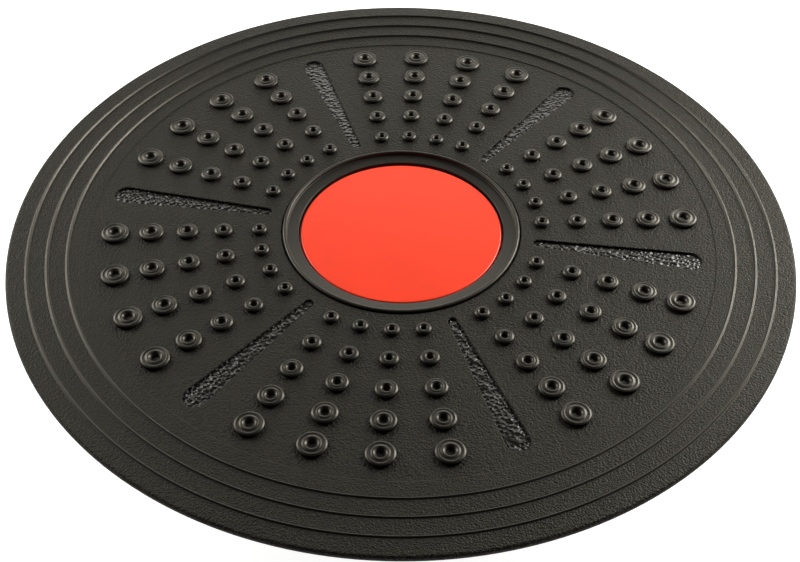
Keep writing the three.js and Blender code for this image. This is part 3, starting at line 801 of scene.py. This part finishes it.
def make_hub():
    bead_inner = FLANGE_RADIUS - BEAD_WIDTH
    cap_seat = CAP_TOP - CAP_THICKNESS - TOUCH_GAP
    floor_top = HUB_UNDERSIDE + HUB_FLOOR
    outline = rounded([
        (0, HUB_UNDERSIDE, 0),
        (NECK_RADIUS, HUB_UNDERSIDE, 0.6),
        (NECK_RADIUS, FLANGE_UNDERSIDE, 0.3),
        (FLANGE_RADIUS, FLANGE_UNDERSIDE, 0.4),
        (FLANGE_RADIUS, BEAD_TOP, 0.9),
        (bead_inner, BEAD_TOP, 0.9),
        (bead_inner - 0.3, BAND_HEIGHTS[0], 0.3),
        (CAP_BORE_RADIUS, BAND_HEIGHTS[1], 0.3),
        (CAP_BORE_RADIUS, cap_seat, 0.4),
        (HUB_INNER_RADIUS, cap_seat, 0.4),
        (HUB_INNER_RADIUS, floor_top, 0.8),
        (0, floor_top, 0),
    ], 6)
    hub = revolved(outline, ROUND_SEGMENTS, [HUB_PLASTIC])
    screws = numbered("hub_screw", SCREWS_PER_RING)
    radius = HUB_SCREW["shank"] + TOUCH_GAP
    holes = bores(screws, radius, HUB_UNDERSIDE - CUT_PAST, floor_top + CUT_PAST, [HUB_PLASTIC])
    combine(hub, holes, "DIFFERENCE")
    return finish_piece(hub, "hub_flange_fine", ["hub_flange"], "rocker")


GATE_RADIUS = 1.6
GATE_RISE = 0.1
CAP_LEDGE = 0.6
CAP_LEDGE_DROP = 1.2


def make_cap():
    underside = CAP_TOP - CAP_THICKNESS
    skirt_outer = HUB_INNER_RADIUS - TOUCH_GAP
    skirt_inner = skirt_outer - CAP_SKIRT_WALL
    outline = rounded([
        (0, underside, 0),
        (skirt_inner, underside, 0.5),
        (skirt_inner, CAP_SKIRT_FOOT, 0.4),
        (skirt_outer, CAP_SKIRT_FOOT, 0.4),
        (skirt_outer, underside, 0.3),
        (CAP_RADIUS + CAP_LEDGE, underside, 0.2),
        (CAP_RADIUS + CAP_LEDGE, CAP_TOP - CAP_LEDGE_DROP, 0.2),
        (CAP_RADIUS, CAP_TOP - CAP_LEDGE_DROP, 0.2),
        (CAP_RADIUS, CAP_TOP, 0.8),
        (GATE_RADIUS, CAP_TOP, 0),
        (GATE_RADIUS * 0.6, CAP_TOP + GATE_RISE, 0),
        (0, CAP_TOP + GATE_RISE * 1.2, 0),
    ], 6)
    cap = revolved(outline, ROUND_SEGMENTS, [CAP_PLASTIC])
    return finish_piece(cap, "centre_cap_fine", ["centre_cap"], "rocker")


# ---- Rocker ----

FLAT_ANGLE = math.asin(PAD_FLAT_RADIUS / DOME_RADIUS)
PAD_ANGLE = math.asin(PAD_RADIUS / DOME_RADIUS)
RIM_ANGLE = math.acos((BALL_CENTRE - DOME_TOP) / DOME_RADIUS)


def dome_envelope():
    skin = DOME_RADIUS - DOME_WALL / 2
    inner_skin = DOME_RADIUS - PAD_THICKNESS - TOUCH_GAP - DOME_WALL / 2
    step_angle = PAD_ANGLE + (TOUCH_GAP + DOME_WALL / 2) / DOME_RADIUS
    outline = [
        (0, PAD_THICKNESS + TOUCH_GAP + DOME_WALL / 2),
        *ball_face(inner_skin, FLAT_ANGLE, step_angle, RECESS_STEPS),
        *ball_face(skin, step_angle, math.acos((BALL_CENTRE - DOME_TOP) / skin), 24),
        (0, DOME_TOP),
    ]
    return revolved(outline, ROUND_SEGMENTS, [ROCKER_PLASTIC])


def make_dome():
    screws = numbered("plate_screw", SCREWS_PER_RING)
    recess = DOME_RADIUS - PAD_THICKNESS - TOUCH_GAP
    recess_angle = PAD_ANGLE + TOUCH_GAP / DOME_RADIUS
    recess_floor = PAD_THICKNESS + TOUCH_GAP
    inner = DOME_RADIUS - DOME_WALL
    step_angle = recess_angle + DOME_WALL / DOME_RADIUS
    dome = revolved([
        (0, recess_floor),
        *ball_face(recess, FLAT_ANGLE, recess_angle, RECESS_STEPS),
        *ball_face(DOME_RADIUS, recess_angle, RIM_ANGLE, DOME_STEPS),
        *ball_face(inner, math.acos((BALL_CENTRE - DOME_TOP) / inner), step_angle, DOME_STEPS),
        *ball_face(recess - DOME_WALL, step_angle, FLAT_ANGLE, RECESS_STEPS),
        (0, recess_floor + DOME_WALL),
    ], ROUND_SEGMENTS, [ROCKER_PLASTIC])
    column = [(COLUMN_RADIUS - COLUMN_WALL, 0), (COLUMN_RADIUS, 0),
              (COLUMN_RADIUS, DOME_TOP), (COLUMN_RADIUS - COLUMN_WALL, DOME_TOP)]
    inside = revolved(column, COLUMN_SEGMENTS, [ROCKER_PLASTIC])
    boss_radius = PLATE_SCREW["shank"] + BOSS_WALL
    combine(inside, bores(screws, boss_radius, 0, DOME_TOP, [ROCKER_PLASTIC]), "UNION")
    rib = [
        (COLUMN_RADIUS - COLUMN_WALL / 2, 0),
        (PLATE_RADIUS, 0),
        (PLATE_RADIUS, DOME_TOP - DOME_RIB_DROP),
        (COLUMN_RADIUS - COLUMN_WALL / 2, DOME_TOP - DOME_RIB_DROP),
    ]
    ribs = bmesh.new()
    for angle in pattern(SCREWS_PER_RING, HALF_TURN / SCREWS_PER_RING):
        prism_into(ribs, rib, DOME_RIB_THICKNESS, turned(angle))
    combine(inside, solid_of(ribs, [ROCKER_PLASTIC]), "UNION")
    combine(inside, dome_envelope(), "INTERSECT")
    combine(dome, inside, "UNION")
    tip = lowest(screws[0]).z
    holes = bores(screws, PLATE_SCREW["shank"] + TOUCH_GAP, tip - TOUCH_GAP, DOME_TOP + CUT_PAST,
                  [ROCKER_PLASTIC])
    combine(dome, holes, "DIFFERENCE")
    return finish_piece(dome, "dome_fine", ["dome"], "rocker")


def screw_place(node, points_up):
    """The top of a screw's head, with -Z along its shank."""
    axis = centre_of(node)
    head = lowest(node).z if points_up else highest(node).z
    turn = Matrix.Rotation(HALF_TURN if points_up else 0, 4, "X")
    return Matrix.Translation((axis.x, axis.y, head)) @ turn


def countersinks(nodes, screw, points_up, materials):
    """Cutters for countersunk heads and their shanks, on each screw's axis."""
    clear = TOUCH_GAP
    length = highest(nodes[0]).z - lowest(nodes[0]).z
    outline = [
        (0, -length - clear),
        (screw["shank"] + clear, -length - clear),
        (screw["shank"] + clear, -screw["head_height"]),
        (screw["head"] + clear, -clear),
        (screw["head"] + clear, CUT_PAST),
        (0, CUT_PAST),
    ]
    places = [screw_place(node, points_up) for node in nodes]
    return revolved_copies(outline, BOSS_SEGMENTS, materials, places)


def make_base_plate():
    materials = [ROCKER_PLASTIC]
    collar_inner = COLLAR_OUTER_RADIUS - COLLAR_WALL
    plate = revolved(rounded([
        (0, PLATE_UNDERSIDE, 0),
        (PLATE_RADIUS, PLATE_UNDERSIDE, 0.8),
        (PLATE_RADIUS, PLATE_TOP, 0.8),
        (COLLAR_OUTER_RADIUS, PLATE_TOP, 0.6),
        (COLLAR_OUTER_RADIUS, COLLAR_TOP, 0.7),
        (collar_inner, COLLAR_TOP, 0.7),
        (collar_inner, PLATE_TOP, 0.6),
        (0, PLATE_TOP, 0),
    ]), ROUND_SEGMENTS, materials)
    hub_screws = numbered("hub_screw", SCREWS_PER_RING)
    boss_radius = HUB_SCREW["shank"] + BOSS_WALL
    boss_top = PLATE_TOP - CUT_PAST
    combine(plate, bores(hub_screws, boss_radius, BOSS_FOOT, boss_top, materials), "UNION")
    race_screws = numbered("lower_race_screw", SCREWS_PER_RING)
    for screws, screw in ((hub_screws, HUB_SCREW), (race_screws, RACE_SCREW)):
        tip = lowest(screws[0]).z - TOUCH_GAP
        radius = screw["shank"] + TOUCH_GAP
        combine(plate, bores(screws, radius, tip, PLATE_TOP + CUT_PAST, materials), "DIFFERENCE")
    plate_screws = numbered("plate_screw", SCREWS_PER_RING)
    combine(plate, countersinks(plate_screws, PLATE_SCREW, False, materials), "DIFFERENCE")
    return finish_piece(plate, "base_plate_fine", ["base_plate"], "rocker")


GRIP_COUNT = 6
GRIP_DEPTH = 0.7
GRIP_SHARE = 0.45
GRIP_FLOOR = (0.3, 0.7)
PAD_FLAT_RINGS = (8, PAD_FLAT_RADIUS - 6)
PAD_EDGE_ANGLE = 0.004


def make_pad():
    """The rubber foot: a flat to stand on, and grip grooves round the curved part."""
    outer = [(0, 0), *((r, 0) for r in PAD_FLAT_RINGS)]
    span = PAD_ANGLE - FLAT_ANGLE
    for k in range(GRIP_COUNT):
        start = FLAT_ANGLE + span * k / GRIP_COUNT
        ridge = span * (1 - GRIP_SHARE) / GRIP_COUNT
        groove = span * GRIP_SHARE / GRIP_COUNT
        outer += ball_face(DOME_RADIUS, start, start + ridge, 3)
        floor = [start + ridge + groove * share for share in GRIP_FLOOR]
        outer += ball_face(DOME_RADIUS - GRIP_DEPTH, *floor, 2)
    outer += ball_face(DOME_RADIUS, PAD_ANGLE - PAD_EDGE_ANGLE, PAD_ANGLE, 1)
    inner = DOME_RADIUS - PAD_THICKNESS
    pad = revolved([
        *outer,
        *ball_face(inner, PAD_ANGLE, FLAT_ANGLE, 12),
        (0, PAD_THICKNESS),
    ], ROUND_SEGMENTS, [RUBBER])
    return finish_piece(pad, "foot_pad_fine", ["foot_pad"], "rocker")


# ---- Bearing ----

def make_race(node, upper, body):
    low, high = UPPER_RACE if upper else LOWER_RACE
    face, back = (low, high) if upper else (high, low)
    side = 1 if upper else -1
    half_space = abs(face - BALL_HEIGHT)
    middle = side * HALF_TURN / 2
    reach = math.acos(half_space / GROOVE_RADIUS)
    chamfer = RACE_CHAMFER
    groove = (middle + side * reach, middle - side * reach)
    outline = [
        (RACE_INNER_RADIUS, face + side * chamfer),
        (RACE_INNER_RADIUS + chamfer, face),
        *arc(RACE_RADIUS, BALL_HEIGHT, GROOVE_RADIUS, *groove, GROOVE_STEPS),
        (RACE_OUTER_RADIUS - chamfer, face),
        (RACE_OUTER_RADIUS, face + side * chamfer),
        (RACE_OUTER_RADIUS, back - side * chamfer),
        (RACE_OUTER_RADIUS - chamfer, back),
        (RACE_INNER_RADIUS + chamfer, back),
        (RACE_INNER_RADIUS, back - side * chamfer),
    ]
    race = revolved(outline, ROUND_SEGMENTS, [RACE_STEEL])
    screws = numbered(f"{node}_screw", SCREWS_PER_RING)
    combine(race, countersinks(screws, RACE_SCREW, upper, [RACE_STEEL]), "DIFFERENCE")
    return finish_piece(race, f"{node}_fine", [node], body)


def make_cage():
    low, high = CAGE
    cage = revolved(rounded([
        (RACE_RADIUS - CAGE_HALF_WIDTH, low, 0.4),
        (RACE_RADIUS + CAGE_HALF_WIDTH, low, 0.4),
        (RACE_RADIUS + CAGE_HALF_WIDTH, high, 0.4),
        (RACE_RADIUS - CAGE_HALF_WIDTH, high, 0.4),
    ]), ROUND_SEGMENTS, [CAGE_NYLON])
    balls = numbered("ball", BALL_COUNT)
    pockets = bores(balls, BALL_RADIUS + RUNNING_GAP, low - CUT_PAST, high + CUT_PAST,
                    [CAGE_NYLON])
    combine(cage, pockets, "DIFFERENCE")
    return finish_piece(cage, "ball_cage_fine", ["ball_cage"], "ball_carrier")


def make_ball(node):
    outline = arc(0, 0, BALL_RADIUS, -HALF_TURN / 2, HALF_TURN / 2, BALL_STEPS)
    ball = revolved([(abs(r), z) for r, z in outline], 2 * BALL_STEPS, [BALL_STEEL],
                    Matrix.Translation(centre_of(node)))
    return finish_piece(ball, f"{node}_fine", [node], "ball_carrier")


# ---- Screws ----

THREAD_SEGMENTS = 24
ROWS_PER_TURN = 8
CROSS_ARM_SHARE = 0.2
CROSS_TAPER = 0.45


def threaded_shank(mesh, radius, top, bottom):
    """A tapping screw's shank: its radius swells and shrinks along one helix."""
    rows = round((top - bottom) / THREAD_PITCH * ROWS_PER_TURN)
    rings = []
    for row in range(rows + 1):
        z = top + (bottom - top) * row / rows
        taper = min(1.0, (z - bottom) / (2 * radius) + 0.25)
        ring = []
        for k in range(THREAD_SEGMENTS):
            angle = 2 * HALF_TURN * k / THREAD_SEGMENTS
            phase = (z / THREAD_PITCH - k / THREAD_SEGMENTS) % 1
            crest = 1 - abs(2 * phase - 1)
            fade = min(1.0, row / ROWS_PER_TURN)
            r = (radius - THREAD_DEPTH + THREAD_DEPTH * crest * fade) * taper
            ring.append(mesh.verts.new((r * math.cos(angle), r * math.sin(angle), z)))
        rings.append(ring)
    mesh.faces.new(rings[0])
    mesh.faces.new(reversed(rings[-1]))
    for i in range(1, len(rings)):
        for k in range(THREAD_SEGMENTS):
            mesh.faces.new([rings[i - 1][k - 1], rings[i - 1][k], rings[i][k], rings[i][k - 1]])


def cross_cutter(size, depth):
    """A tapered cross that cuts the driver's recess."""
    arm, half = size, size * CROSS_ARM_SHARE
    quarter = [(arm, half), (half, half), (half, arm)]
    outline = quarter + [(-x, y) for x, y in reversed(quarter)]
    outline += [(-x, -y) for x, y in outline]
    mesh = bmesh.new()
    top = [mesh.verts.new((x, y, 1)) for x, y in outline]
    mouth = [mesh.verts.new((x, y, 0)) for x, y in outline]
    floor = [mesh.verts.new((x * CROSS_TAPER, y * CROSS_TAPER, -depth)) for x, y in outline]
    mesh.faces.new(top)
    mesh.faces.new(reversed(floor))
    for upper, lower in ((top, mouth), (mouth, floor)):
        for i in range(len(outline)):
            mesh.faces.new([upper[i - 1], upper[i], lower[i], lower[i - 1]])
    return solid_of(mesh, [SCREW_ZINC])


def screw_solid(screw, length):
    """A screw that hangs from height 0: its head, its thread and its cross recess."""
    head, height, shank = screw["head"], screw["head_height"], screw["shank"]
    if screw["countersunk"]:
        outline = [(0, -height - 0.4), (shank * 0.8, -height - 0.4), (shank, -height),
                   (head, -0.3), (head - 0.1, 0), (0, 0)]
    else:
        outline = [(0, -height - 0.4), (shank * 0.8, -height - 0.4), (shank * 0.8, -height),
                   (head, -height), *arc(head - 1.2, -1.2, 1.2, 0, HALF_TURN / 2, 6), (0, 0)]
    solid = revolved(outline, BOSS_SEGMENTS, [SCREW_ZINC])
    thread = bmesh.new()
    threaded_shank(thread, shank, -height - 0.2, -length)
    combine(solid, solid_of(thread, [SCREW_ZINC]), "UNION")
    combine(solid, cross_cutter(head * 0.55, height * 0.6), "DIFFERENCE")
    return solid


def make_screws(name, screw, body, points_up=False):
    nodes = numbered(name, SCREWS_PER_RING)
    pattern_screw = screw_solid(screw, highest(nodes[0]).z - lowest(nodes[0]).z)
    dice = random.Random(len(name))
    for node in nodes:
        solid = pattern_screw.copy()
        solid.data = pattern_screw.data.copy()
        bpy.context.scene.collection.objects.link(solid)
        turn = Matrix.Rotation(dice.uniform(0, HALF_TURN), 4, "Z")
        solid.data.transform(screw_place(node, points_up) @ turn)
        finish_piece(solid, f"{node}_fine", [node], body)
    bpy.data.objects.remove(pattern_screw)


# ---- Stage, light and camera ----

LENS = 58.41
SENSOR_WIDTH = 36
CAMERA_ELEVATION = math.radians(45.35)
CAMERA_DISTANCE = 576.2
CAMERA_ROLL = math.radians(0.32)
AIM_FROM_AXIS = (-0.4, -37.35)


def make_camera():
    """Looks along +Y and down, at a point in front of the board's axis."""
    aim = Vector((*AIM_FROM_AXIS, NUB_TOP)) * MM
    forward = Vector((0, math.cos(CAMERA_ELEVATION), -math.sin(CAMERA_ELEVATION)))
    data = bpy.data.cameras.new("camera")
    data.lens = LENS
    data.sensor_width = SENSOR_WIDTH
    data.dof.use_dof = False
    data.clip_start = 0.01
    data.clip_end = 20
    camera = bpy.data.objects.new("camera", data)
    camera.rotation_mode = "QUATERNION"
    place = Matrix.Translation(aim - forward * CAMERA_DISTANCE * MM)
    turn = forward.to_track_quat("-Z", "Y").to_matrix().to_4x4()
    camera.matrix_world = place @ turn @ Matrix.Rotation(CAMERA_ROLL, 4, "Z")
    bpy.context.scene.collection.objects.link(camera)
    bpy.context.scene.camera = camera


LIGHT_COLOR = (1, 0.977, 0.9)
FLOOR_REACH = 6
FLOOR_GREY = 0.7
FLOOR_GLOW = 0.9
WORLD_GLOW = 0.02


def soft_light(name, place, size, power):
    """A square soft box that faces the board, with its place and size in metres."""
    data = bpy.data.lights.new(name, "AREA")
    data.shape = "SQUARE"
    data.size = size
    data.energy = power
    data.color = LIGHT_COLOR
    light = bpy.data.objects.new(name, data)
    light.location = place
    light.rotation_mode = "QUATERNION"
    light.rotation_quaternion = (-Vector(place)).to_track_quat("-Z", "Y")
    bpy.context.scene.collection.objects.link(light)


def make_floor():
    """A wide pale floor, a little lit from itself so that it stays plain."""
    mesh = bmesh.new()
    bmesh.ops.create_grid(mesh, x_segments=1, y_segments=1, size=FLOOR_REACH)
    data = bpy.data.meshes.new("floor")
    mesh.to_mesh(data)
    mesh.free()
    floor = bpy.data.objects.new("floor", data)
    bpy.context.scene.collection.objects.link(floor)
    finish = Finish("pale_floor", (FLOOR_GREY, FLOOR_GREY, FLOOR_GREY), 0.9)
    finish.shader.inputs["Emission Color"].default_value = (1, 1, 1, 1)
    finish.shader.inputs["Emission Strength"].default_value = FLOOR_GLOW
    floor.data.materials.append(finish.material)


def make_world():
    world = bpy.data.worlds.new("studio")
    world.use_nodes = True
    background = world.node_tree.nodes["Background"]
    background.inputs["Color"].default_value = (1, 1, 1, 1)
    background.inputs["Strength"].default_value = WORLD_GLOW
    bpy.context.scene.world = world


make_camera()
make_world()
make_floor()
soft_light("right_box", (0.55, 0.32, 0.4), 0.4, 8.2)
soft_light("left_box", (-0.6, 0.35, 0.42), 0.4, 4.1)
soft_light("far_left_box", (-0.8, 0.29, 0.53), 0.8, 1.6)
soft_light("back_box", (0, 1.13, 0.41), 0.8, 5.3)
bpy.context.scene.view_settings.view_transform = "Standard"

make_deck()
make_hub()
make_cap()
make_dome()
make_base_plate()
make_pad()
make_race("upper_race", True, "turntable")
make_race("lower_race", False, "rocker")
make_cage()
for ball_node in numbered("ball", BALL_COUNT):
    make_ball(ball_node)
make_screws("upper_race_screw", RACE_SCREW, "turntable", points_up=True)
make_screws("lower_race_screw", RACE_SCREW, "rocker")
make_screws("plate_screw", PLATE_SCREW, "rocker")
make_screws("hub_screw", HUB_SCREW, "rocker")
